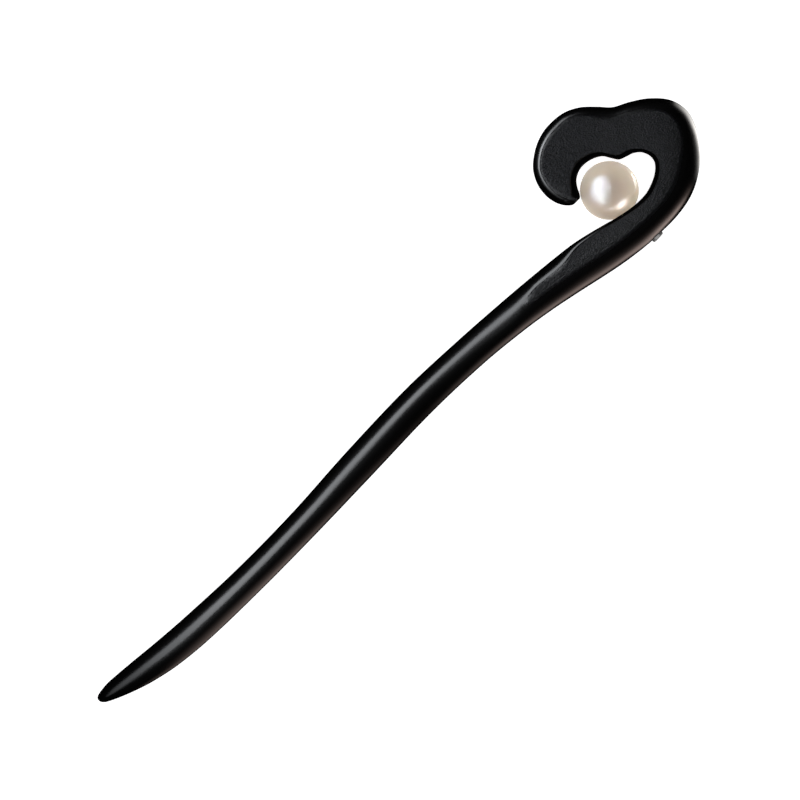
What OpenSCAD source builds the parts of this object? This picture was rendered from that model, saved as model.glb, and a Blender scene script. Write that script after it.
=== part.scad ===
// Hair stick of black horn with a curled head, and a pearl pinned in the curl.
// It lies on a flat surface as it would by itself: +Y runs from the tip to the head, +Z is up,
// and the origin is on that surface under the middle of the stick.

/* [Horn stick] */
// Length of the stick from its tip to the top of the head
stick_len = 152.9; // [140:0.1:180]
// Thickness of the flat curled head
head_thick = 8; // [7.4:0.1:8.8]
// Thickness of the shaft as a share of what its sections give
shaft_fullness = 1; // [0.92:0.01:1.04]
// Height of a rounded edge as a share of its width
edge_rise = 1.25; // [1:0.05:1.5]

/* [Pearl] */
// Diameter of the pearl
pearl_d = 10.85; // [10.2:0.05:10.95]
// Clearance between the pearl and its shallow seat in the horn
seat_gap = 0.06; // [0.04:0.01:0.1]

/* [Pin] */
// Diameter of the pin's shank
pin_d = 1.2; // [0.8:0.1:1.6]
// Clearance round the shank in its holes
pin_gap = 0.1; // [0.06:0.01:0.15]
// Diameter of the pin's flat head
pin_head_d = 2.4; // [2:0.1:3]
// Height of the head above the outer edge of the horn
pin_head_proud = 0.5; // [0.3:0.05:0.8]
// Depth of the small flat in the horn that the head sits on
pin_spot_depth = 0.2; // [0.1:0.05:0.3]

/* [Hidden] */

// The two tables are in the stick's own flat frame: X across, Y along, Z = 0 at mid-thickness.
// Shaft sections from the tip up: Y, left X, right X, thickness, width of the left and right rounding.
// Roundings that fill the width make a section round.
SHAFT = [
    [-76.38, 1.58, 2.05, 0.6, 1, 1],
    [-76.2, 1.25, 2.4, 1.45, 1, 1],
    [-75.75, 1, 2.85, 2.3, 1, 1],
    [-74.8, 0.8, 3.4, 3.5, 1.3, 1.3],
    [-73, 0.65, 4.22, 4.6, 1.8, 1.8],
    [-70.5, 0.8, 5.2, 5.3, 2.2, 2.2],
    [-67, 1.1, 6.33, 5.6, 2.7, 2.7],
    [-61.5, 1.63, 7.5, 5.5, 3, 3],
    [-54, 2.17, 8.22, 5.5, 3.1, 3.1],
    [-41, 2.68, 8.5, 5.6, 3, 3],
    [-27, 2.52, 8.4, 5.8, 3, 3],
    [-12, 1.66, 8.04, 6.15, 3.2, 3.2],
    [4, 1.2, 7.61, 6.3, 3.2, 3.2],
    [17.3, 1.7, 8.03, 6.4, 3.45, 2.85],
    [27, 2.33, 9, 6.75, 4, 2.65],
    [33.5, 2.86, 10.02, 7.25, 2.3, 3.7],
    [39.5, 3.45, 11.25, 7.75, 2.05, 3.9],
    [44, 4, 12.25, 7.95, 1.05, 4],
];
// Head sections round the curl, from the top of the shaft to the end of the lobe:
// inner X and Y, outer X and Y, thickness as a share of head_thick, width of the inner and outer rounding.
HEAD = [
    [4.7, 47.4, 12.95, 47.4, 1, 0.75, 4],
    [5.48, 50.4, 13.47, 50.6, 1, 0.65, 4],
    [6.45, 54, 13.88, 54.2, 1, 0.65, 4],
    [7.03, 57.5, 14.03, 57.9, 1, 0.75, 4],
    [7, 60.45, 13.97, 61.6, 1, 0.85, 4],
    [6.25, 62.85, 13.35, 65.3, 1, 0.85, 4.1],
    [5.3, 64.5, 12, 68.55, 1, 0.8, 4.1],
    [4.2, 65.55, 9.35, 72.15, 1, 0.75, 4],
    [3.15, 65.85, 5.6, 75.1, 1, 0.75, 3.5],
    [2.2, 65.75, 1.8, 76.45, 1, 0.65, 3.2],
    [1.05, 65.2, -1.8, 75.78, 1, 0.6, 2.8],
    [0.13, 64.03, -4.85, 73.25, 1, 0.8, 2.2],
    [-0.3, 62.8, -6.95, 70.25, 1, 1.1, 1.8],
    [-0.9, 61.35, -8.55, 67.25, 1, 0.9, 1.7],
    [-2.13, 60.5, -10.55, 65.35, 1, 0.7, 1.8],
    [-3.45, 59.65, -12.8, 62.9, 1, 0.85, 1.35],
    [-4.33, 58.2, -14.18, 60.03, 1, 1.1, 1.3],
    [-4.77, 56.4, -14.5, 56.6, 1, 1.25, 1.4],
    [-4.65, 54.8, -14.05, 53.95, 1, 1.35, 1.35],
    [-4.07, 53.5, -12.88, 51.43, 1, 1.35, 1.25],
    [-3.5, 52.85, -10.86, 48.96, 1, 1.3, 1.35],
    [-2.9, 52.4, -8.2, 47.5, 1, 1.3, 1.7],
    [-2.4, 52.1, -5.6, 47.13, 1, 1.4, 1.95],
    [-2, 51.93, -3.6, 47.48, 1, 1.6, 1.85],
    [-1.65, 51.75, -2.25, 48.15, 0.99, 1.6, 1.6],
    [-1.36, 51.58, -1.45, 48.85, 0.95, 1.2, 1.2],
    [-1.1, 51.38, -1.07, 49.35, 0.86, 0.9, 0.9],
    [-0.93, 51.1, -0.93, 49.75, 0.72, 0.6, 0.6],
];

// The tables' own tip and top, and the height below which the shaft stretches to stick_len
TABLE_TIP_Y = -76.4;
TABLE_TOP_Y = 76.5;
STRETCH_FROM_Y = 27;
STRETCH = (stick_len - TABLE_TOP_Y + STRETCH_FROM_Y) / (STRETCH_FROM_Y - TABLE_TIP_Y);
function along(y) = y < STRETCH_FROM_Y ? STRETCH_FROM_Y + (y - STRETCH_FROM_Y) * STRETCH : y;

// Columns of a full section, all in millimetres
IN = [0, 1];
OUT = [2, 3];
THICK = 4;
IN_ROUND = 5;
OUT_ROUND = 6;
ROWS = concat(
    [for (s = SHAFT) [s[1], along(s[0]), s[2], along(s[0]), s[3] * shaft_fullness, s[4], s[5]]],
    [for (h = HEAD) [h[0], h[1], h[2], h[3], h[4] * head_thick, h[5], h[6]]]
);
LAST = len(ROWS) - 1;

// Sections between two rows, and facets round the inner and the outer edge
STEPS = 3;
IN_FACETS = 5;
OUT_FACETS = 7;
RING = 2 * (IN_FACETS + OUT_FACETS + 2);
// Narrowest flat face between two roundings, and straight part left in the thinnest edge
MIN_FLAT = 0.15;
MIN_WALL_SHARE = 0.04;

// The pearl's middle, and where the pin's axis leaves the limb's outer edge
PEARL_AT = [1.85, 56.05, 0];
PIN_EDGE_AT = [13.98, 56.3, 0];
PIN_TURN = atan2(PIN_EDGE_AT[1] - PEARL_AT[1], PIN_EDGE_AT[0] - PEARL_AT[0]);
// Along the pin's axis from the pearl's middle: the shank's end, and the limb's outer edge
SHANK_FROM = 0.5;
EDGE_OUT = norm(PIN_EDGE_AT - PEARL_AT);
// Extra length of a cutting cylinder, and the head's clearance round and under it
CUT = 3;
HEAD_GAP = 0.04;
FINE = 96;

// It rests on the pearl, the rounded outer edge of the limb beside it, and the shaft near the tip.
// Each is near enough a ball at mid-thickness, given by its X, Y and radius.
LIMB_ROW = ROWS[len(SHAFT) + 2];
SHAFT_ROW = ROWS[6];
PEARL_REST = [PEARL_AT[0], PEARL_AT[1], pearl_d / 2];
LIMB_REST = [LIMB_ROW[OUT[0]] - LIMB_ROW[OUT_ROUND], LIMB_ROW[OUT[1]], head_thick / 2];
SHAFT_REST = [middle(SHAFT_ROW)[0], middle(SHAFT_ROW)[1], SHAFT_ROW[THICK] / 2];

// A point of a section's inner or outer edge, and the middle of the section
function edge(row, side) = [row[side[0]], row[side[1]]];
function middle(row) = (edge(row, IN) + edge(row, OUT)) / 2;

// Distance along the band from row i to the next, and of each row from the tip
function step_on(i) = norm(middle(ROWS[min(i + 1, LAST)]) - middle(ROWS[i]));
STATION = [for (i = 0, s = 0; i <= LAST; s = s + step_on(i), i = i + 1) s];

// How fast each column changes along the band at row i
function slope(i) = let (a = max(i - 1, 0), b = min(i + 1, LAST))
    (ROWS[b] - ROWS[a]) / (STATION[b] - STATION[a]);

// The section a share t of the way from row i to the next, on a smooth curve through the rows
function blended(i, t) = let (span = STATION[i + 1] - STATION[i])
    (2 * pow(t, 3) - 3 * pow(t, 2) + 1) * ROWS[i] + (pow(t, 3) - 2 * pow(t, 2) + t) * span * slope(i)
    + (3 * pow(t, 2) - 2 * pow(t, 3)) * ROWS[i + 1] + (pow(t, 3) - pow(t, 2)) * span * slope(i + 1);

// Points of one rounded edge from the mid-plane up: distance in from the edge, and height
function rounding(width, half, facets) = let (rise = min(width * edge_rise, half * (1 - MIN_WALL_SHARE)))
    [for (k = [0:facets]) let (a = 90 * k / facets) [width * (1 - cos(a)), half - rise + rise * sin(a)]];

// One closed ring of points round a section: over the top from the inner to the outer edge, then back below
function ring(row) = let (
        inner = edge(row, IN),
        across = edge(row, OUT) - inner,
        width = norm(across),
        fit = min(1, (width - MIN_FLAT) / (row[IN_ROUND] + row[OUT_ROUND])),
        near = rounding(row[IN_ROUND] * fit, row[THICK] / 2, IN_FACETS),
        far = rounding(row[OUT_ROUND] * fit, row[THICK] / 2, OUT_FACETS),
        top = concat(near, [for (k = [OUT_FACETS:-1:0]) [width - far[k][0], far[k][1]]]),
        loop = concat(top, [for (k = [len(top) - 1:-1:0]) [top[k][0], -top[k][1]]])
    ) [for (p = loop) [inner[0] + across[0] * p[0] / width, inner[1] + across[1] * p[0] / width, p[1]]];

// Two triangles from neighbouring points a and b of a ring to the same points of the next ring
function patch(a, b) = [[a, a + RING, b], [b, a + RING, b + RING]];

SECTIONS = concat([for (i = [0:LAST - 1], k = [0:STEPS - 1]) blended(i, k / STEPS)], [ROWS[LAST]]);

// The plane under the three resting places: its upward direction is [REST_A, REST_B, REST_C]
TO_LIMB = LIMB_REST - PEARL_REST;
TO_SHAFT = SHAFT_REST - PEARL_REST;
REST_AREA = TO_LIMB[0] * TO_SHAFT[1] - TO_SHAFT[0] * TO_LIMB[1];
REST_A = (TO_LIMB[2] * TO_SHAFT[1] - TO_SHAFT[2] * TO_LIMB[1]) / REST_AREA;
REST_B = (TO_LIMB[0] * TO_SHAFT[2] - TO_SHAFT[0] * TO_LIMB[2]) / REST_AREA;
REST_C = sqrt(1 - pow(REST_A, 2) - pow(REST_B, 2));
REST_HEIGHT = REST_A * PEARL_REST[0] + REST_B * PEARL_REST[1] - PEARL_REST[2];
REST_PITCH = atan2(REST_B, REST_C);
REST_ROLL = atan2(-REST_A, norm([REST_B, REST_C]));

// Lays the flat frame down so that the three places touch the surface at Z = 0
module laid_down() {
    translate([0, stick_len / 2 - TABLE_TOP_Y, -REST_HEIGHT]) rotate([REST_PITCH, REST_ROLL, 0]) children();
}

// Puts things drawn upwards along Z on the pin's axis, with Z = 0 at the pearl's middle
module on_pin_axis() {
    translate(PEARL_AT) rotate([0, 0, PIN_TURN]) rotate([0, 90, 0]) children();
}

// The band of horn as one skin through all the sections, closed flat at both ends
module horn_band() {
    last_ring = len(SECTIONS) - 1;
    polyhedron(
        points = [for (s = SECTIONS) each ring(s)],
        faces = concat(
            [[for (k = [0:RING - 1]) k]],
            [for (j = [0:last_ring - 1], k = [0:RING - 1])
                each patch(j * RING + k, j * RING + (k + 1) % RING)],
            [[for (k = [RING - 1:-1:0]) last_ring * RING + k]]
        )
    );
}

// The stick, with the pearl's seat, the pin's hole and the small flat under the pin's head
module horn_stick() {
    color([0.07, 0.07, 0.08]) laid_down() difference() {
        horn_band();
        on_pin_axis() sphere(d = pearl_d + 2 * seat_gap, $fn = FINE);
        on_pin_axis() cylinder(d = pin_d + 2 * pin_gap, h = EDGE_OUT + CUT, $fn = FINE);
        on_pin_axis() translate([0, 0, EDGE_OUT - pin_spot_depth])
            cylinder(d = pin_head_d + 2 * HEAD_GAP, h = CUT, $fn = FINE);
    }
}

// The pearl, drilled from the side to its middle for the pin
module pearl() {
    color([0.84, 0.78, 0.69]) laid_down() on_pin_axis() difference() {
        sphere(d = pearl_d, $fn = FINE);
        cylinder(d = pin_d + 2 * pin_gap, h = pearl_d, $fn = FINE);
    }
}

// The pin: a straight shank and a flat round head
module pearl_pin() {
    head_from = EDGE_OUT - pin_spot_depth + HEAD_GAP;
    color([0.78, 0.78, 0.8]) laid_down() on_pin_axis() {
        translate([0, 0, SHANK_FROM]) cylinder(d = pin_d, h = EDGE_OUT - SHANK_FROM, $fn = FINE);
        translate([0, 0, head_from])
            cylinder(d = pin_head_d, h = EDGE_OUT + pin_head_proud - head_from, $fn = FINE);
    }
}

horn_stick();
pearl();
pearl_pin();
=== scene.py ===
from math import atan2, cos, pi, radians, sin, sqrt, tan

import bmesh
import bpy
import numpy as np
from mathutils import Euler, Matrix, Vector, noise


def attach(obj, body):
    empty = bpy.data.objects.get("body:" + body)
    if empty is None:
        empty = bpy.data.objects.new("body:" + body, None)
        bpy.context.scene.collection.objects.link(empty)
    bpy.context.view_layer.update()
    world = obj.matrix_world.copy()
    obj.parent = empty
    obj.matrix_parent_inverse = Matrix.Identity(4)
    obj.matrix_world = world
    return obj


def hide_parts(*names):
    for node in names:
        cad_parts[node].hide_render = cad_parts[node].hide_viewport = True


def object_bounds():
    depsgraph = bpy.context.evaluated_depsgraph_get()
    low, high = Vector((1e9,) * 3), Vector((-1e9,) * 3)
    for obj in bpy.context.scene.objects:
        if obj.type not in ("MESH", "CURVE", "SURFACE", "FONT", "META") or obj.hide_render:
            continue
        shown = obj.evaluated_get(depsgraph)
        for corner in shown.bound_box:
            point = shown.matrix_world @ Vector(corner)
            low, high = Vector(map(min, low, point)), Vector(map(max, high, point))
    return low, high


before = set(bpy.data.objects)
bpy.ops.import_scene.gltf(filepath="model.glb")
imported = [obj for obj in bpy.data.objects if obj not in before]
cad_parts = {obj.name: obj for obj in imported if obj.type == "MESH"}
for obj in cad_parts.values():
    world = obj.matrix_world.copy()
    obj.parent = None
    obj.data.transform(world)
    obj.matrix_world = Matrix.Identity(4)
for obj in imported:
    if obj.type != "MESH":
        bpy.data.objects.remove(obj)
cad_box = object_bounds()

# Lengths below are millimetres in the stick's own flat frame, as its sections are drawn:
# X across, Y from the tip to the head, Z = 0 at mid-thickness. MM turns them into metres.
MM = 0.001

# Shaft sections from the tip up: Y, left X, right X, thickness, width of the left and right rounding
SHAFT = [
    [-76.38, 1.58, 2.05, 0.6, 1, 1],
    [-76.2, 1.25, 2.4, 1.45, 1, 1],
    [-75.75, 1, 2.85, 2.3, 1, 1],
    [-74.8, 0.8, 3.4, 3.5, 1.3, 1.3],
    [-73, 0.65, 4.22, 4.6, 1.8, 1.8],
    [-70.5, 0.8, 5.2, 5.3, 2.2, 2.2],
    [-67, 1.1, 6.33, 5.6, 2.7, 2.7],
    [-61.5, 1.63, 7.5, 5.5, 3, 3],
    [-54, 2.17, 8.22, 5.5, 3.1, 3.1],
    [-41, 2.68, 8.5, 5.6, 3, 3],
    [-27, 2.52, 8.4, 5.8, 3, 3],
    [-12, 1.66, 8.04, 6.15, 3.2, 3.2],
    [4, 1.2, 7.61, 6.3, 3.2, 3.2],
    [17.3, 1.7, 8.03, 6.4, 3.45, 2.85],
    [27, 2.33, 9, 6.75, 4, 2.65],
    [33.5, 2.86, 10.02, 7.25, 2.3, 3.7],
    [39.5, 3.45, 11.25, 7.75, 2.05, 3.9],
    [44, 4, 12.25, 7.95, 1.05, 4],
]
# Head sections round the curl, from the top of the shaft to the end of the lobe:
# inner X and Y, outer X and Y, thickness as a share of HEAD_THICK, width of the inner and outer rounding
HEAD = [
    [4.7, 47.4, 12.95, 47.4, 1, 0.75, 4],
    [5.48, 50.4, 13.47, 50.6, 1, 0.65, 4],
    [6.45, 54, 13.88, 54.2, 1, 0.65, 4],
    [7.03, 57.5, 14.03, 57.9, 1, 0.75, 4],
    [7, 60.45, 13.97, 61.6, 1, 0.85, 4],
    [6.25, 62.85, 13.35, 65.3, 1, 0.85, 4.1],
    [5.3, 64.5, 12, 68.55, 1, 0.8, 4.1],
    [4.2, 65.55, 9.35, 72.15, 1, 0.75, 4],
    [3.15, 65.85, 5.6, 75.1, 1, 0.75, 3.5],
    [2.2, 65.75, 1.8, 76.45, 1, 0.65, 3.2],
    [1.05, 65.2, -1.8, 75.78, 1, 0.6, 2.8],
    [0.13, 64.03, -4.85, 73.25, 1, 0.8, 2.2],
    [-0.3, 62.8, -6.95, 70.25, 1, 1.1, 1.8],
    [-0.9, 61.35, -8.55, 67.25, 1, 0.9, 1.7],
    [-2.13, 60.5, -10.55, 65.35, 1, 0.7, 1.8],
    [-3.45, 59.65, -12.8, 62.9, 1, 0.85, 1.35],
    [-4.33, 58.2, -14.18, 60.03, 1, 1.1, 1.3],
    [-4.77, 56.4, -14.5, 56.6, 1, 1.25, 1.4],
    [-4.65, 54.8, -14.05, 53.95, 1, 1.35, 1.35],
    [-4.07, 53.5, -12.88, 51.43, 1, 1.35, 1.25],
    [-3.5, 52.85, -10.86, 48.96, 1, 1.3, 1.35],
    [-2.9, 52.4, -8.2, 47.5, 1, 1.3, 1.7],
    [-2.4, 52.1, -5.6, 47.13, 1, 1.4, 1.95],
    [-2, 51.93, -3.6, 47.48, 1, 1.6, 1.85],
    [-1.65, 51.75, -2.25, 48.15, 0.99, 1.6, 1.6],
    [-1.36, 51.58, -1.45, 48.85, 0.95, 1.2, 1.2],
    [-1.1, 51.38, -1.07, 49.35, 0.86, 0.9, 0.9],
    [-0.93, 51.1, -0.93, 49.75, 0.72, 0.6, 0.6],
]
HEAD_THICK = 8
# Columns of a full section
INNER, OUTER = slice(0, 2), slice(2, 4)
THICK, IN_ROUND, OUT_ROUND, IN_SOFT, OUT_SOFT = 4, 5, 6, 7, 8

# The stick's length, and Y of the top of its head
STICK_LEN = 152.9
HEAD_TOP_Y = 76.5
# The rows that meet the surface the stick lies on: the limb's in HEAD and the shaft's in SHAFT
LIMB_ROW = 2
SHAFT_ROW = 6

# Height of a rounding as a share of its width, the flat that stays between two roundings, and the share of
# the half thickness that stays upright below a rounding
EDGE_RISE = 1.25
MIN_FLAT = 0.15
MIN_WALL_SHARE = 0.04
# Narrow roundings are softened outside the head and at the neck, which takes in the shaft's last rows: they
# start further in on the flat face, by a share of their width, and are fuller. This sets in between the
# first two of SOFT_WIDTHS and runs out between the last two.
SOFT_WIDER = 0.4
SOFT_FULLER = 0.2
SOFT_WIDTHS = [0.9, 1.25, 1.95, 2.4]
NECK_ROWS = 3

# The pearl and its seat, and the pin that enters on the limb's outer edge
PEARL_AT = np.array([1.85, 56.05, 0])
PEARL_D = 10.85
SEAT_GAP = 0.06
PIN_EDGE_AT = np.array([13.98, 56.3, 0])
PIN_D = 1.2
PIN_GAP = 0.1
PIN_HEAD_D = 2.4
PIN_HEAD_PROUD = 0.5
PIN_SPOT_DEPTH = 0.2
HEAD_GAP = 0.04
SHANK_FROM = 0.5
EDGE_OUT = float(np.linalg.norm(PIN_EDGE_AT - PEARL_AT))
# How far the cutters for the pin run out past the horn's edge
CUT_PAST = 3

# Fineness of the horn's skin: sections between two rows, and facets round an inner and an outer edge
STEPS = 10
IN_FACETS = 8
OUT_FACETS = 14
# Edges sharper than this aren't shaded smooth
SHARP_EDGE = radians(32)

# The flat face's satin: Y where it sets in and the length of that, its share at the border of a narrow and
# of a wide outer rounding, and over how many degrees of that rounding it runs out
SATIN_Y = 30
SATIN_FADE = 3
SATIN_ROUNDS = [2, 3.5]
SATIN_SHARES = [1, 0.55]
SATIN_RUN_OUT = 12
# The inner wall's dullness: Y where it sets in and the length of that, and over how many degrees it runs
# out at the top of the inner rounding
DULL_Y = 46
DULL_FADE = 5
DULL_RUN_OUT = 10


# The horn's sections

def full_rows():
    """All sections in one table, with the share of softening of each rounding."""
    shaft = [[left, y, right, y, thick, a, b] for y, left, right, thick, a, b in SHAFT]
    head = [[ix, iy, ox, oy, share * HEAD_THICK, a, b] for ix, iy, ox, oy, share, a, b in HEAD]
    made = np.array(shaft + head, float)
    widths = made[:, [IN_ROUND, OUT_ROUND]]
    soft = np.interp(widths, SOFT_WIDTHS, [0, 1, 1, 0])
    soft[:len(SHAFT) - NECK_ROWS] = 0
    soft[len(SHAFT):, 0] = 0
    made[:, [IN_ROUND, OUT_ROUND]] = widths * (1 + SOFT_WIDER * soft)
    return np.hstack([made, soft])


def swept(rows):
    """Sections on a smooth curve through the rows, STEPS from each row to the next."""
    middle = (rows[:, INNER] + rows[:, OUTER]) / 2
    gaps = np.linalg.norm(np.diff(middle, axis=0), axis=1)
    station = np.concatenate([[0], np.cumsum(gaps)])
    last = len(rows) - 1
    before = np.maximum(np.arange(len(rows)) - 1, 0)
    after = np.minimum(np.arange(len(rows)) + 1, last)
    slope = (rows[after] - rows[before]) / (station[after] - station[before])[:, None]
    made = []
    for i in range(last):
        for t in np.arange(STEPS) / STEPS:
            made.append(
                (2 * t**3 - 3 * t**2 + 1) * rows[i] + (t**3 - 2 * t**2 + t) * gaps[i] * slope[i]
                + (3 * t**2 - 2 * t**3) * rows[i + 1] + (t**3 - t**2) * gaps[i] * slope[i + 1]
            )
    return made + [rows[last]]


def degrees_round(facets):
    """The angle at each point of a rounding, from 0 to 90 degrees."""
    return 90 * np.arange(facets + 1) / facets


def rounding(width, half, facets, soft):
    """Points of a rounded edge from the mid-plane up: distance in from the edge, and height."""
    rise = min(width * EDGE_RISE, half * (1 - MIN_WALL_SHARE))
    a = np.radians(degrees_round(facets))
    power = 1 - SOFT_FULLER * np.clip(soft, 0, 1)
    return np.stack([width * (1 - np.abs(np.cos(a)) ** power), half - rise + rise * np.sin(a) ** power], 1)


def ring(row):
    """One closed ring of points round a section, with each point's share of the flat face's satin and of
    the inner wall's dullness."""
    across = row[OUTER] - row[INNER]
    width = np.linalg.norm(across)
    fit = min(1, (width - MIN_FLAT) / (row[IN_ROUND] + row[OUT_ROUND]))
    near = rounding(row[IN_ROUND] * fit, row[THICK] / 2, IN_FACETS, row[IN_SOFT])
    far = rounding(row[OUT_ROUND] * fit, row[THICK] / 2, OUT_FACETS, row[OUT_SOFT])[::-1]
    far[:, 0] = width - far[:, 0]
    top = np.concatenate([near, far])
    loop = np.concatenate([top, (top * [1, -1])[::-1]])
    # The satin weakens towards a wide outer rounding and runs out over its first part
    satin = np.zeros(len(top))
    satin[IN_FACETS] = 1
    border = np.interp(row[OUT_ROUND], SATIN_ROUNDS, SATIN_SHARES)
    satin[IN_FACETS + 1:] = border * np.clip(1 - degrees_round(OUT_FACETS) / SATIN_RUN_OUT, 0, 1)
    # The inner wall is dull right up to the top of its rounding
    dull = np.zeros(len(top))
    dull[:IN_FACETS + 1] = np.clip((90 - degrees_round(IN_FACETS)) / DULL_RUN_OUT, 0, 1)
    points = np.empty((len(loop), 3))
    points[:, :2] = row[INNER] + across / width * loop[:, :1]
    points[:, 2] = loop[:, 1]
    return points, np.concatenate([satin, satin[::-1]]), np.concatenate([dull, dull[::-1]])


# Where the stick lies: it touches the surface with the pearl, the limb's outer edge and the shaft

def resting_place(rows):
    """The turn from the flat frame to the surface, and the shift in millimetres."""
    limb = rows[len(SHAFT) + LIMB_ROW]
    shaft = rows[SHAFT_ROW]
    pearl_ball = np.array([PEARL_AT[0], PEARL_AT[1], PEARL_D / 2])
    limb_ball = np.array([limb[OUTER][0] - limb[OUT_ROUND], limb[OUTER][1], HEAD_THICK / 2])
    shaft_ball = np.array([*(shaft[INNER] + shaft[OUTER]) / 2, shaft[THICK] / 2])
    p, q = limb_ball - pearl_ball, shaft_ball - pearl_ball
    area = p[0] * q[1] - q[0] * p[1]
    a = (p[2] * q[1] - q[2] * p[1]) / area
    b = (p[0] * q[2] - q[0] * p[2]) / area
    c = sqrt(1 - a**2 - b**2)
    height = a * pearl_ball[0] + b * pearl_ball[1] - pearl_ball[2]
    turn = Euler((atan2(b, c), atan2(-a, sqrt(b**2 + c**2)), 0))
    return turn, Vector((0, STICK_LEN / 2 - HEAD_TOP_Y, -height))


rows = full_rows()
TURN, SHIFT = resting_place(rows)
TO_SURFACE = Matrix.Translation(SHIFT * MM) @ TURN.to_matrix().to_4x4() @ Matrix.Scale(MM, 4)
PIN_TURN = atan2(*(PIN_EDGE_AT - PEARL_AT)[1::-1])
PIN_AXIS = (
    Matrix.Translation(PEARL_AT) @ Matrix.Rotation(PIN_TURN, 4, "Z") @ Matrix.Rotation(radians(90), 4, "Y")
)


# Meshes

def placed(name, data):
    """A new object in the scene."""
    made = bpy.data.objects.new(name, data)
    bpy.context.scene.collection.objects.link(made)
    return made


def mesh_object(name, points, faces, to_flat=Matrix.Identity(4)):
    """An object whose mesh lies in the shared frame; points are in millimetres."""
    mesh = bpy.data.meshes.new(name)
    mesh.from_pydata([list(p) for p in points], [], faces)
    mesh.transform(TO_SURFACE @ to_flat)
    piece = placed(name, mesh)
    work = bmesh.new()
    work.from_mesh(mesh)
    bmesh.ops.recalc_face_normals(work, faces=work.faces)
    work.to_mesh(mesh)
    work.free()
    return piece


def smooth_shaded(piece):
    """Smooth shading, apart from edges sharper than SHARP_EDGE."""
    work = bmesh.new()
    work.from_mesh(piece.data)
    for face in work.faces:
        face.smooth = True
    for edge in work.edges:
        edge.smooth = edge.calc_face_angle(0) < SHARP_EDGE
    work.to_mesh(piece.data)
    work.free()


def turned(name, profile, sides):
    """A closed surface of revolution about the pin's axis, through [radius, distance along it] points. The
    first and last point lie on the axis."""
    angles = 2 * np.pi * np.arange(sides) / sides
    circle = np.stack([np.cos(angles), np.sin(angles)], 1)
    points = [[0, 0, profile[0][1]]]
    for radius, z in profile[1:-1]:
        points += [[radius * c, radius * s, z] for c, s in circle]
    points.append([0, 0, profile[-1][1]])
    rings = len(profile) - 2
    end = len(points) - 1
    faces = []
    for k in range(sides):
        n = (k + 1) % sides
        faces.append([0, 1 + n, 1 + k])
        faces.append([end, end - sides + k, end - sides + n])
        for j in range(rings - 1):
            a, b = 1 + j * sides, 1 + (j + 1) * sides
            faces.append([a + k, a + n, b + n, b + k])
    return mesh_object(name, points, faces, PIN_AXIS)


def arc(centre, radius, start, end, steps):
    """Profile points round a circle from one angle to another, in degrees from the r axis."""
    angles = np.radians(np.linspace(start, end, steps + 1))
    return [[centre[0] + radius * cos(a), centre[1] + radius * sin(a)] for a in angles]


def block_profile(radius, low, high):
    return [[0, low], [radius, low], [radius, high], [0, high]]


def swept_horn():
    """The horn without its cuts, with each point's satin and dullness as attributes."""
    rings = [ring(row) for row in swept(rows)]
    count = len(rings[0][0])
    points = np.concatenate([r[0] for r in rings])
    faces = [list(range(count)), list(range(len(points) - count, len(points)))]
    for j in range(len(rings) - 1):
        for k in range(count):
            a, b = j * count + k, j * count + (k + 1) % count
            faces.append([a, a + count, b + count, b])
    piece = mesh_object("horn", points, faces)
    # The satin sets in where the flat face rises out of the round shaft, and the dull wall where the limb
    # turns off from the shaft
    looks = (("satin", 1, SATIN_Y, SATIN_FADE), ("dull", 2, DULL_Y, DULL_FADE))
    for name, index, start, length in looks:
        fade = np.clip((points[:, 1] - start) / length, 0, 1)
        values = np.concatenate([r[index] for r in rings]) * fade
        share = piece.data.attributes.new(name, "FLOAT", "POINT")
        share.data.foreach_set("value", values.astype(np.float32))
    return piece


def cut_out(piece, cutter):
    """Takes the cutter's shape out of the piece and removes the cutter."""
    cut = piece.modifiers.new("cut", "BOOLEAN")
    cut.operation = "DIFFERENCE"
    cut.solver = "EXACT"
    cut.object = cutter
    graph = bpy.context.evaluated_depsgraph_get()
    piece.data = bpy.data.meshes.new_from_object(piece.evaluated_get(graph))
    piece.modifiers.clear()
    bpy.data.objects.remove(cutter)


def finished_horn():
    """The horn with the pearl's round seat, the pin's hole and the small flat under the pin's head."""
    piece = swept_horn()
    seat = arc((0, 0), PEARL_D / 2 + SEAT_GAP, -90, 90, 64)
    hole = block_profile(PIN_D / 2 + PIN_GAP, 0, EDGE_OUT + CUT_PAST)
    spot = block_profile(PIN_HEAD_D / 2 + HEAD_GAP, EDGE_OUT - PIN_SPOT_DEPTH, EDGE_OUT + CUT_PAST)
    for name, profile, sides in (("seat", seat, 128), ("hole", hole, 48), ("spot", spot, 64)):
        cut_out(piece, turned(name, profile, sides))
    smooth_shaded(piece)
    return piece


def finished_pearl():
    """A round pearl drilled to its middle, a little uneven as grown nacre is."""
    uneven = 0.02
    lumps = 1.7
    hole = PIN_D / 2 + PIN_GAP
    lip = 0.08
    radius = PEARL_D / 2
    skin_from = 0.97 * radius
    halfway = 0.6 * radius
    rim = sqrt(radius**2 - hole**2) - 2 * lip
    mouth = np.degrees(np.arccos((hole + lip) / radius))
    profile = [[0, 0], [hole, 0], [hole, halfway], [hole, rim]] + arc((0, 0), radius, mouth, -90, 110)
    profile[-1][0] = 0
    piece = turned("pearl_bead", profile, 160)
    centre = TO_SURFACE @ Vector(PEARL_AT)
    for v in piece.data.vertices:
        out = v.co - centre
        if out.length > skin_from * MM:
            grown = 1 - (1 + noise.noise(out.normalized() * lumps)) * uneven / radius
            v.co = centre + out * grown
    smooth_shaded(piece)
    return piece


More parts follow.
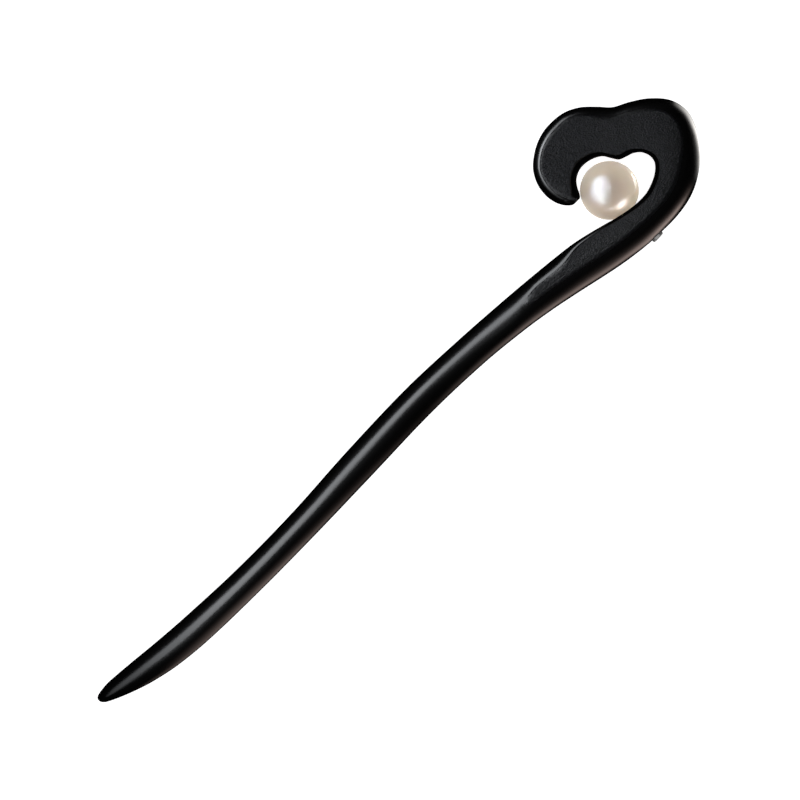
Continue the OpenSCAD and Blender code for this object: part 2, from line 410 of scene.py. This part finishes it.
def finished_pin():
    """Straight shank and flat round head with softened edges and a faint dome."""
    under = EDGE_OUT - PIN_SPOT_DEPTH + HEAD_GAP
    top = EDGE_OUT + PIN_HEAD_PROUD
    neck = 0.2
    edge = 0.1
    brim = 0.26
    dome = 0.03
    head = PIN_HEAD_D / 2
    shank = PIN_D / 2
    profile = [[0, SHANK_FROM], [shank - edge, SHANK_FROM], [shank, SHANK_FROM + edge]]
    profile += [[shank, under - neck], [shank, under]]
    profile += arc((head - edge, under + edge), edge, -90, 0, 5)
    profile += arc((head - brim, top - dome - brim), brim, 0, 80, 10)
    profile += [[head * share, top - dome * share**2] for share in (0.6, 0.3, 0)]
    piece = turned("pin", profile, 64)
    smooth_shaded(piece)
    return piece


# Building blocks of the materials

def new_material(name):
    material = bpy.data.materials.new(name)
    material.use_nodes = True
    return material, material.node_tree.nodes["Principled BSDF"]


def node(tree, kind, inputs=None, **settings):
    made = tree.nodes.new(kind)
    for key, value in settings.items():
        setattr(made, key, value)
    for key, value in (inputs or {}).items():
        if isinstance(value, bpy.types.NodeSocket):
            tree.links.new(value, made.inputs[key])
        else:
            made.inputs[key].default_value = value
    return made


def flat_coordinates(tree):
    """The stick's own flat frame, in millimetres."""
    place = node(tree, "ShaderNodeTexCoord").outputs["Object"]
    laid = {"Vector": place, "Location": SHIFT * MM, "Rotation": TURN, "Scale": (MM, MM, MM)}
    return node(tree, "ShaderNodeMapping", laid, vector_type="TEXTURE").outputs["Vector"]


def stretched_noise(tree, place, turn, scale, detail, rough=0.5):
    """Noise drawn out along one direction in the flat face: scale is in cells a millimetre."""
    laid = {"Vector": place, "Rotation": (0, 0, radians(turn)), "Scale": scale}
    drawn = node(tree, "ShaderNodeMapping", laid).outputs["Vector"]
    asked = {"Vector": drawn, "Scale": 1.0, "Detail": detail, "Roughness": rough}
    return node(tree, "ShaderNodeTexNoise", asked).outputs["Fac"]


def point_share(tree, name):
    """A share from 0 to 1 that the mesh holds for each of its points."""
    return node(tree, "ShaderNodeAttribute", attribute_name=name).outputs["Fac"]


def maths(tree, operation, a, b=0.0):
    return node(tree, "ShaderNodeMath", {0: a, 1: b}, operation=operation).outputs["Value"]


def product(tree, first, *others):
    for other in others:
        first = maths(tree, "MULTIPLY", first, other)
    return first


def ranged(tree, value, low, high, to_low, to_high, smooth=False):
    """A value rescaled from low to high and clamped there."""
    asked = {"Value": value, "From Min": low, "From Max": high, "To Min": to_low, "To Max": to_high}
    kind = "SMOOTHSTEP" if smooth else "LINEAR"
    return node(tree, "ShaderNodeMapRange", asked, interpolation_type=kind).outputs["Result"]


def blended(tree, share, a, b):
    """Number a blended to number b."""
    asked = {"Factor": share, "A": a, "B": b}
    return node(tree, "ShaderNodeMix", asked, data_type="FLOAT").outputs["Result"]


def mixed(tree, share, a, b):
    """Colour a blended to colour b."""
    made = node(tree, "ShaderNodeMix", {"Factor": share}, data_type="RGBA")
    for socket, value in (("A", a), ("B", b)):
        entry = next(i for i in made.inputs if i.name == socket and i.type == "RGBA")
        if isinstance(value, bpy.types.NodeSocket):
            tree.links.new(value, entry)
        else:
            entry.default_value = (*value, 1)
    return next(o for o in made.outputs if o.type == "RGBA")


# Materials

# The horn's shine, as ramps over a place in the flat frame: from, to, and the factors there, partly polish
# and partly painted light. TIP is along the shaft's end. SANDED is on the flat face, across it, along it and
# towards the corner of the head, where X + Y is largest; across it the shine rises to the right as painted
# light where the key light is weaker. LOBE is on the lobe's outer rounding, where extra shine paints a
# highlight of light
# from the left: where it gives way across the head, its course along Y, and towards the lobe's end, where
# X - Y is largest.
TIP_POLISH = (-75, -48, 0.08, 0.62)
SANDED_ACROSS_PAINTED_LIGHT = (-6, 9, 0.57, 0.75)
SANDED_ALONG = (36, 47, 0.7, 0.87)
SANDED_CORNER = (66, 77, 1, 0.72)
LOBE_ACROSS = (-2, 0, 1, 0)
LOBE_PAINTED_HIGHLIGHT_ALONG = [(48, 50, 0.5, 1.8), (50, 52, 1, 1.22), (53, 56.5, 1, 0.45)]
LOBE_PAINTED_HIGHLIGHT_END = (-55.8, -52.9, 1, 0.25)
# What is left of the polish on the dull inner wall, and the lobe's extra roughness
DULL_POLISH = 0.004
LOBE_ROUGHER = 0.03
# Relief: its depth in millimetres, its strength, what is left of it on the roundings, and the ramp along Y
RELIEF_DEPTH = 0.26
RELIEF_STRENGTH = 0.9
RELIEF_ROUNDED = 0.03
RELIEF_ALONG = (60, 67, 1.4, 1.05)
GRAIN_SHARE = 0.4


def horn_shine_and_painted_light(tree, satin, x, y, lobe):
    """How strongly the horn shines, from the tip to the head and from the roundings to the flat face, with
    painted light in it: a painted highlight on the lobe's outer rounding, and a flat face that shines more
    to the right.
    """
    corner = ranged(tree, maths(tree, "ADD", x, y), *SANDED_CORNER)
    # Across the flat face the shine rises to the right: painted light where the key light is weaker
    sanded = product(tree, ranged(tree, x, *SANDED_ACROSS_PAINTED_LIGHT), ranged(tree, y, *SANDED_ALONG), corner)
    # On the lobe's outer rounding, extra shine along Y and less towards its end: a painted highlight
    along = [ranged(tree, y, *ramp) for ramp in LOBE_PAINTED_HIGHLIGHT_ALONG]
    end = ranged(tree, maths(tree, "SUBTRACT", x, y), *LOBE_PAINTED_HIGHLIGHT_END)
    painted_lobe_highlight = blended(tree, lobe, 1.0, product(tree, *along, end))
    dull = ranged(tree, point_share(tree, "dull"), 0, 1, 1, DULL_POLISH)
    worn = ranged(tree, y, *TIP_POLISH)
    return product(tree, worn, dull, blended(tree, satin, painted_lobe_highlight, sanded))


def horn_material():
    """Near-black horn: polished on the roundings, satin with fine sanding lines on the flat faces."""
    material, shader = new_material("black_horn")
    tree = material.node_tree
    place = flat_coordinates(tree)
    axes = node(tree, "ShaderNodeSeparateXYZ", {"Vector": place})
    x, y = axes.outputs["X"], axes.outputs["Y"]
    satin = point_share(tree, "satin")
    lobe = ranged(tree, x, *LOBE_ACROSS)

    sanded = stretched_noise(tree, place, -15, (3.2, 1.2, 1), 2, 0.7)
    crossed = stretched_noise(tree, place, 12, (3.8, 1.4, 1), 2, 0.7)
    lines = maths(tree, "MULTIPLY", maths(tree, "ADD", sanded, crossed), 0.5)
    grain = stretched_noise(tree, place, -5, (5, 3.5, 1), 1)
    clouds = stretched_noise(tree, place, 0, (0.12, 0.05, 0.12), 2)

    dust = ranged(tree, maths(tree, "ADD", lines, grain), 0.85, 1.15, 0, 1)
    sanded_black = mixed(tree, dust, (0.0001, 0.0002, 0.0006), (0.0052, 0.0068, 0.011))
    black = mixed(tree, satin, (0.0008, 0.0008, 0.0008), sanded_black)
    tree.links.new(black, shader.inputs["Base Color"])
    tree.links.new(horn_shine_and_painted_light(tree, satin, x, y, lobe), shader.inputs["Specular IOR Level"])

    polished = ranged(tree, clouds, 0.3, 0.7, 0.21, 0.25)
    polished = maths(tree, "ADD", polished, ranged(tree, lobe, 0, 1, 0, LOBE_ROUGHER))
    matt = ranged(tree, lines, 0.35, 0.65, 0.37, 0.47)
    tree.links.new(blended(tree, satin, polished, matt), shader.inputs["Roughness"])

    pitted = maths(tree, "ADD", lines, maths(tree, "MULTIPLY", grain, GRAIN_SHARE))
    flat_part = ranged(tree, satin, 0, 1, RELIEF_ROUNDED, 1)
    relief = product(tree, pitted, flat_part, ranged(tree, y, *RELIEF_ALONG))
    bump = {"Height": relief, "Strength": RELIEF_STRENGTH, "Distance": RELIEF_DEPTH * MM}
    tree.links.new(node(tree, "ShaderNodeBump", bump).outputs["Normal"], shader.inputs["Normal"])
    return material


def pearl_material():
    """Cream nacre with a soft inner glow and a faint rosy cast."""
    material, shader = new_material("cream_nacre")
    tree = material.node_tree
    place = flat_coordinates(tree)
    blush = stretched_noise(tree, place, 20, (0.16, 0.2, 0.16), 2)
    cast = ranged(tree, blush, 0.35, 0.65, 0, 1, smooth=True)
    cream = mixed(tree, cast, (0.52, 0.455, 0.365), (0.53, 0.445, 0.38))
    tree.links.new(cream, shader.inputs["Base Color"])
    shader.inputs["Metallic"].default_value = 0.35
    shader.inputs["Sheen Weight"].default_value = 0.5
    shader.inputs["Sheen Roughness"].default_value = 0.5
    shader.inputs["Sheen Tint"].default_value = (1, 0.93, 0.82, 1)
    shader.inputs["IOR"].default_value = 1.6
    shader.inputs["Roughness"].default_value = 0.27
    shader.inputs["Specular IOR Level"].default_value = 0.0
    shader.inputs["Subsurface Weight"].default_value = 1.0
    shader.inputs["Subsurface Radius"].default_value = (1.0, 0.85, 0.7)
    shader.inputs["Subsurface Scale"].default_value = 4 * MM
    return material


def metal_material():
    """Silver-coloured metal with a slightly uneven, worn polish."""
    material, shader = new_material("pin_silver")
    tree = material.node_tree
    place = flat_coordinates(tree)
    wear = stretched_noise(tree, place, 0, (5, 5, 5), 2)
    shader.inputs["Metallic"].default_value = 1.0
    shader.inputs["Base Color"].default_value = (0.66, 0.65, 0.63, 1)
    tree.links.new(ranged(tree, wear, 0.3, 0.7, 0.32, 0.4), shader.inputs["Roughness"])
    return material


def dressed(piece, material, cad_node):
    piece.data.materials.clear()
    piece.data.materials.append(material)
    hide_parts(cad_node)
    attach(piece, "root")


horn = finished_horn()
pearl = finished_pearl()
pin = finished_pin()
dressed(horn, horn_material(), "horn_stick")
dressed(pearl, pearl_material(), "pearl")
dressed(pin, metal_material(), "pearl_pin")


# Camera, square on to the flat face, with the stick running up to the right as in the photograph

# The photograph's side in pixels, the size of a pixel on the stick, and the place in the photograph's middle
PHOTO_SIDE = 800
PIXEL = 0.1835
PHOTO_MIDDLE = Vector((1.886, 1.688, 0))
CAMERA_DISTANCE = 3000
SENSOR = 36
# The picture's own directions in the shared frame
face_turn = TURN.to_matrix()
TOWARDS = face_turn @ Vector((0, 0, 1))
RIGHT = face_turn @ Vector((1, 1, 0)).normalized()
UP = face_turn @ Vector((-1, 1, 0)).normalized()


def add_camera():
    data = bpy.data.cameras.new("camera")
    data.sensor_width = SENSOR
    data.lens = SENSOR * CAMERA_DISTANCE / (PHOTO_SIDE * PIXEL)
    data.clip_start = 0.1
    data.clip_end = 20
    camera = placed("camera", data)
    aimed = Matrix((RIGHT, UP, TOWARDS)).transposed().to_4x4()
    middle = TO_SURFACE @ PHOTO_MIDDLE
    camera.matrix_world = Matrix.Translation(middle + TOWARDS * CAMERA_DISTANCE * MM) @ aimed
    bpy.context.scene.camera = camera


# Studio: a softbox to the left and a pale lit table. The horn mirrors the softbox and, on its other side, a
# sheet that stands for the table's glow. Small softboxes light the pearl and the pin alone.

def from_flat(x, y, z=0):
    """A place given in the flat frame, in millimetres."""
    return TO_SURFACE @ Vector((x, y, z))


def in_picture(right, up, towards):
    """A place by its offset from the pearl's middle, in the picture's own directions, in millimetres."""
    return from_flat(*PEARL_AT) + (RIGHT * right + UP * up + TOWARDS * towards) * MM


def direction(azimuth, elevation):
    """Azimuth from the picture's right towards its top, elevation above the face's plane, in degrees."""
    a, e = radians(azimuth), radians(elevation)
    return (RIGHT * cos(a) + UP * sin(a)) * cos(e) + TOWARDS * sin(e)


def collection_of(name, *things):
    made = bpy.data.collections.new(name)
    for thing in things:
        made.objects.link(thing)
    return made


def facing(back, upright):
    """The turn of a lamp whose back points along back, with its height towards upright."""
    side = upright.cross(back).normalized()
    return Matrix((side, back.cross(side), back)).transposed().to_4x4()


def area_lamp(name, shape, wide, tall, strength, colour):
    """A lamp as bright as a sheet of that emission strength; width and height are in metres."""
    data = bpy.data.lights.new(name, "AREA")
    data.shape = shape
    data.size = wide
    data.size_y = tall
    share_lit = pi / 4 if shape == "ELLIPSE" else 1
    data.energy = strength * pi * share_lit * wide * tall
    data.color = colour
    return placed(name, data)


def add_key_light():
    """A tall narrow softbox close by on the left, along the picture's left border."""
    place = in_picture(-108, -40, 130)
    faced = in_picture(-30, -40, 0)
    lean = 7
    lamp = area_lamp("key_light", "RECTANGLE", 0.074, 0.36, 4.6, (0.95, 0.98, 1.02))
    turn = facing((place - faced).normalized(), UP)
    lamp.matrix_world = Matrix.Translation(place) @ turn @ Matrix.Rotation(radians(-lean), 4, "Z")
    lamp.visible_diffuse = False
    lamp.light_linking.receiver_collection = collection_of("horn_alone", horn)


def stage_sheet(name, points, faces, material, to_frame=Matrix.Identity(4)):
    """A sheet that belongs to the studio, not to the stick."""
    mesh = bpy.data.meshes.new(name)
    mesh.from_pydata(points, [], faces)
    mesh.transform(to_frame)
    mesh.materials.append(material)
    sheet = placed(name, mesh)
    return sheet


def add_table():
    """A pale table lit from below as well. Nothing mirrors it: the glow sheet stands for that."""
    half_side = 6
    low = cad_box[0].z
    corners = [(x * half_side, y * half_side, low) for x, y in ((-1, -1), (1, -1), (1, 1), (-1, 1))]
    material, shader = new_material("pale_table")
    shader.inputs["Base Color"].default_value = (0.6, 0.6, 0.6, 1)
    shader.inputs["Roughness"].default_value = 0.9
    shader.inputs["Specular IOR Level"].default_value = 0.0
    shader.inputs["Emission Color"].default_value = (1, 1, 1, 1)
    shader.inputs["Emission Strength"].default_value = 0.92
    stage_sheet("table", corners, [[0, 1, 2, 3]], material).visible_glossy = False


# The light beside the stick's outer side, as the horn mirrors it, from the tip to the top of the head: Y,
# strength, width of the dark margin next to the stick, which is the stick's painted shadow on the table, and
# which of SPREAD's shares it takes, from 0 to 2
GLOW = [
    [-73, 0.0, 4, 2],
    [-63, 0.75, 4, 2],
    [-52, 1.0, 4, 2],
    [-36, 1.1, 4, 1.4],
    [-15, 0.35, 5.5, 1.3],
    [3, 0.06, 4, 1],
    [20, 0.68, 4, 1],
    [30, 1.4, 5, 1.2],
    [36, 1.65, 6, 1.2],
    [42, 1.8, 6, 1.1],
    [48, 2.05, 6.5, 1.1],
    [54, 2.1, 3.5, 0.9],
    [57, 2.7, 5.5, 1],
    [61.6, 3.0, 9, 1],
    [65.3, 0.75, 11, 1],
    [67, 0.2, 8, 1],
    [68.5, 0.02, 0, 0],
    [70, 0.8, -6, 0],
    [72.15, 4.2, -9, 0],
    [75.1, 6.8, 0, 0],
    [76.5, 3.8, 0, 0],
]
# Across it, from the stick outwards: distance past the dark margin of painted shadow, height above the
# table, and the share of the strength at the head's top, beside the limb and beside the thin end of the
# shaft. The low shares next to the stick soften the painted shadow's edge.
SPREAD = [
    [0, 0, 0, 0, 0.2],
    [1.5, 0, 0.15, 0.4, 0.6],
    [4.5, 0, 0.85, 1, 1],
    [12, 0, 0.75, 1, 1],
    [18, 0, 0.35, 1, 1],
    [30, 1, 0.08, 0.75, 1],
    [38, 3.5, 0.03, 0.5, 0.95],
    [45, 14, 0, 0.13, 0.8],
    [49, 28, 0, 0.02, 0.45],
    [52, 50, 0, 0, 0.12],
    [52, 70, 0, 0, 0],
]
TOP_TINT = np.array([1.03, 1.0, 0.96])
SIDE_TINT = np.array([1.17, 0.91, 0.82])
# On the top of the head, past Y of GLOW_TOP, the glow fades over GLOW_FADE as X comes down to GLOW_END
GLOW_TOP = 70
GLOW_END = -1.8
GLOW_FADE = 3.6


def glow_sections():
    """The horn's sections from the tip round to where the glow ends on the top of the head."""
    sections = swept(rows)
    top = next(i for i, row in enumerate(sections) if row[OUTER][1] > GLOW_TOP)
    end = next(i for i, row in enumerate(sections) if i > top and row[OUTER][0] < GLOW_END)
    return sections[:end]


def glow_material():
    material = bpy.data.materials.new("table_glow")
    material.use_nodes = True
    tree = material.node_tree
    colour = node(tree, "ShaderNodeAttribute", attribute_name="glow").outputs["Color"]
    lit = node(tree, "ShaderNodeEmission", {"Color": colour})
    tree.links.new(lit.outputs["Emission"], tree.nodes["Material Output"].inputs["Surface"])
    return material


def add_table_glow():
    """The lit table beside the stick's outer side, curving up to a low wall: a sheet that only mirrored
    light sees, dark next to the stick, where it paints the stick's shadow on the table."""
    sections = glow_sections()
    ys, strengths, painted_shadow_widths, spreads = np.array(GLOW).T
    table_z = (TO_SURFACE.inverted() @ Vector((0, 0, cad_box[0].z))).z
    points, glow = [], []
    for row in sections:
        x, y = row[OUTER]
        out = (row[OUTER] - row[INNER]) / np.linalg.norm(row[OUTER] - row[INNER])
        strength = np.interp(y, ys, strengths)
        if y > GLOW_TOP:
            strength *= np.interp(x, [GLOW_END, GLOW_END + GLOW_FADE], [0, 1])
        column = np.interp(y, ys, spreads)
        tint = TOP_TINT + (SIDE_TINT - TOP_TINT) * min(column, 1)
        for distance, height, *shares in SPREAD:
            # The sheet starts past the dark margin, the stick's painted shadow on the table
            away = np.interp(y, ys, painted_shadow_widths) + distance
            points.append([*(row[OUTER] + out * away), table_z + height])
            glow.append([*(tint * strength * np.interp(column, [0, 1, 2], shares)), 1])
    wide = len(SPREAD)
    faces = []
    for j in range(len(sections) - 1):
        for k in range(wide - 1):
            a = j * wide + k
            faces.append([a, a + 1, a + wide + 1, a + wide])
    sheet = stage_sheet("table_glow", points, faces, glow_material(), TO_SURFACE)
    colours = sheet.data.attributes.new("glow", "FLOAT_COLOR", "POINT")
    colours.data.foreach_set("color", np.array(glow, np.float32).ravel())
    sheet.visible_camera = False
    sheet.visible_diffuse = False
    sheet.visible_shadow = False
    sheet.visible_transmission = False
    sheet.light_linking.receiver_collection = collection_of("horn_and_pearl", horn, pearl)


# Softboxes that light one small piece alone, as it sees them: the piece, azimuth and elevation, width and
# height in degrees, strength, colour, whether the rest stands in their way, and whether they light its
# gloss or its body
SOFTBOXES = {
    "pearl_key": ["pearl", 180, 49, 84, 33, 3.1, (0.84, 1, 1.16), True, "gloss"],
    "pearl_halo": ["pearl", 178, 56, 110, 78, 1.6, (0.7, 1, 1.4), True, "gloss"],
    "pearl_wide": ["pearl", 178, 40, 110, 60, 1.1, (0.78, 1, 1.6), True, "gloss"],
    "pearl_low": ["pearl", -47, 6, 38, 16, 5.8, (1.02, 0.97, 1.05), False, "gloss"],
    "pearl_low_over": ["pearl", -47, 18, 34, 14, 5, (0.8, 1, 1.25), True, "gloss"],
    "pearl_low_side": ["pearl", -70, 12, 40, 16, 2.6, (0.9, 1, 1.22), True, "gloss"],
    "pearl_low_end": ["pearl", -110, 14, 50, 20, 0.75, (1, 1, 1.3), True, "gloss"],
    "pearl_rim": ["pearl", 24, -43, 24, 3, 50, (0.88, 1, 1.1), False, "gloss"],
    "pearl_right": ["pearl", 0, -5, 60, 50, 2.45, (1, 1, 0.84), False, "body"],
    "pearl_top": ["pearl", 90, -5, 60, 50, 4, (1.06, 0.98, 0.96), False, "body"],
    "pearl_left": ["pearl", 180, -5, 60, 50, 2.8, (1, 1, 1), False, "body"],
    "pearl_bottom": ["pearl", 260, -5, 60, 50, 0.6, (1.3, 0.9, 0.8), False, "body"],
    "pearl_limb": ["pearl", -50, -5, 60, 50, 2.3, (1.06, 1, 0.88), False, "body"],
    "pin_over": ["pin", 0, 89, 130, 130, 0.4, (1, 1, 1), False, "gloss"],
    "pin_side": ["pin", -44, 12, 140, 24, 6.5, (1, 1, 1), False, "gloss"],
}
SOFTBOX_DISTANCE = 0.3


def add_softboxes():
    pieces = {"pearl": pearl, "pin": pin}
    places = {"pearl": PEARL_AT, "pin": PIN_EDGE_AT}
    alone = {name: collection_of(name + "_alone", piece) for name, piece in pieces.items()}
    for name, (lit, azimuth, elevation, wide, tall, strength, colour, shaded, part) in SOFTBOXES.items():
        wide, tall = (2 * SOFTBOX_DISTANCE * tan(radians(angle / 2)) for angle in (wide, tall))
        lamp = area_lamp(name, "ELLIPSE", wide, tall, strength, colour)
        lamp.data.cycles.use_multiple_importance_sampling = lit == "pin"
        back = direction(azimuth, elevation)
        place = from_flat(*places[lit]) + back * SOFTBOX_DISTANCE
        lamp.matrix_world = Matrix.Translation(place) @ facing(back, TOWARDS)
        lamp.visible_diffuse = part == "body"
        lamp.visible_glossy = part == "gloss"
        lamp.light_linking.receiver_collection = alone[lit]
        if not shaded:
            lamp.light_linking.blocker_collection = alone[lit]


def add_surroundings():
    """What shining things mirror is a dark studio. Matt things are lit by a pale room, and behind
    everything the camera sees plain white."""
    below, above = (0.001, 0.001, 0.001), (0.012, 0.012, 0.013)
    pale, white = (0.9, 0.9, 0.9), (1.0, 1.0, 1.0)
    world = bpy.data.worlds.new("studio")
    world.use_nodes = True
    world.cycles.sampling_method = "NONE"
    tree = world.node_tree
    ray = node(tree, "ShaderNodeTexCoord").outputs["Generated"]
    up = node(tree, "ShaderNodeVectorMath", {0: ray, 1: TOWARDS}, operation="DOT_PRODUCT").outputs["Value"]
    dome = mixed(tree, ranged(tree, up, -0.2, 0.2, 0, 1), below, above)
    path = node(tree, "ShaderNodeLightPath").outputs
    lighting = mixed(tree, path["Is Diffuse Ray"], dome, pale)
    seen = mixed(tree, path["Is Camera Ray"], lighting, white)
    tree.links.new(seen, tree.nodes["Background"].inputs["Color"])
    bpy.context.scene.world = world


add_camera()
add_key_light()
add_table()
add_table_glow()
add_softboxes()
add_surroundings()
bpy.context.scene.view_settings.view_transform = "Standard"
